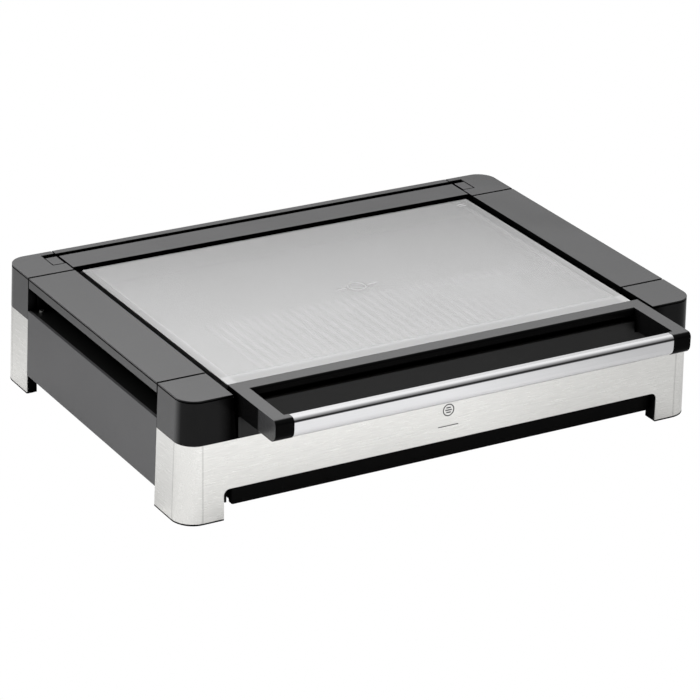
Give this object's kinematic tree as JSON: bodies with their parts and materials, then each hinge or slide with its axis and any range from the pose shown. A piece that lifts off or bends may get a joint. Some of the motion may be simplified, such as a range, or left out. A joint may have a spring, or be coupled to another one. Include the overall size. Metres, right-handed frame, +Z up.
{
  "type": "electric griddle",
  "caption": "Wide tabletop griddle with a steel skirt, side hand grips and a hinged frosted-glass lid with a front handle bar over a part-ribbed plate.",
  "frame": {"origin": "on the table, under the middle of the whole object's box", "axes": "+X to the user's right along the long side, +Y away from the user, +Z up"},
  "size_m": [0.56, 0.453, 0.1245],
  "materials": {
    "skirt_steel": "stainless sheet with a fine horizontal brushing",
    "side_plastic": "dark grey moulded plastic, satin",
    "frame_plastic": "dark grey heat-resistant plastic, satin with a fine grain",
    "lid_plastic": "dark grey heat-resistant plastic, satin",
    "black_plastic": "black moulded plastic, fine texture",
    "foot_plastic": "black moulded plastic",
    "rubber": "soft black rubber",
    "pan_metal": "black enamelled sheet steel",
    "reflector_metal": "plain aluminised sheet",
    "cast_plate": "die-cast aluminium with a dark non-stick coating",
    "steel_parts": "plain steel",
    "screw_steel": "zinc-plated steel",
    "polished_bar": "polished stainless steel",
    "frosted_glass": "frosted tempered glass, pale grey",
    "lens": "clear red lens",
    "thermostat_case": "cream moulded case",
    "terminal_ceramic": "unglazed ceramic",
    "wire_insulation": "silicone insulation"
  },
  "bodies": {
    "griddle_body": {"base_plate": "pan_metal", "cap_front_left": "frame_plastic", "cap_front_right": "frame_plastic", "cap_rear_left": "frame_plastic", "cap_rear_right": "frame_plastic", "chassis_wall_front": "pan_metal", "chassis_wall_rear": "pan_metal", "control_bay": "black_plastic", "cord_gland": "black_plastic", "drain_chute": "pan_metal", "element_clips": "pan_metal", "foot_front_left": "foot_plastic", "foot_front_right": "foot_plastic", "foot_pads": "rubber", "foot_rear_left": "foot_plastic", "foot_rear_right": "foot_plastic", "foot_screws": "screw_steel", "front_fascia": "black_plastic", "front_panel": "skirt_steel", "gland_nut": "black_plastic", "grill_plate": "cast_plate", "grip_channel_left": "black_plastic", "grip_channel_right": "black_plastic", "grip_screws": "screw_steel", "heat_reflector": "reflector_metal", "heating_element_front": "steel_parts", "heating_element_rear": "steel_parts", "hinge_pin_left": "steel_parts", "hinge_pin_right": "steel_parts", "indicator_lenses": "lens", "plate_supports": "pan_metal", "rear_panel": "skirt_steel", "rear_rim": "frame_plastic", "side_panel_left": "side_plastic", "side_panel_right": "side_plastic", "terminal_block": "terminal_ceramic", "thermal_fuse": "terminal_ceramic", "thermostat_front": "thermostat_case", "thermostat_rear": "thermostat_case", "tray_rail_left": "pan_metal", "tray_rail_right": "pan_metal", "trim_left": "frame_plastic", "trim_right": "frame_plastic", "well_frame": "black_plastic", "wiring_loom": "wire_insulation"},
    "lid": {"glass_pane": "frosted_glass", "lid_front_frame": "lid_plastic", "handle_bar": "polished_bar", "lid_rear_strip": "frame_plastic", "lid_rail_left": "steel_parts", "lid_rail_right": "steel_parts", "lid_screws": "screw_steel", "lid_bumpers": "rubber", "hinge_lug_left": "frame_plastic", "hinge_lug_right": "frame_plastic"},
    "tray": {"drip_tray": "black_plastic"},
    "front_control": {"knob_front": "black_plastic", "spindle_front": "steel_parts"},
    "rear_control": {"knob_rear": "black_plastic", "spindle_rear": "steel_parts"}
  },
  "joints": [
    {"name": "lid_hinge", "type": "hinge", "parent": "griddle_body", "child": "lid", "pos_m": [0, 0.199, 0.1165], "axis": [-1, 0, 0], "range_deg": [0, 100]},
    {"name": "tray_slide", "type": "slide", "parent": "griddle_body", "child": "tray", "axis": [0, -1, 0], "range_m": [0, 0.27]},
    {"name": "front_knob_turn", "type": "hinge", "parent": "griddle_body", "child": "front_control", "pos_m": [0.262, -0.0115, 0.061], "axis": [-1, 0, 0], "range_deg": [0, 270]},
    {"name": "rear_knob_turn", "type": "hinge", "parent": "griddle_body", "child": "rear_control", "pos_m": [0.262, 0.0785, 0.061], "axis": [-1, 0, 0], "range_deg": [0, 270]}
  ]
}
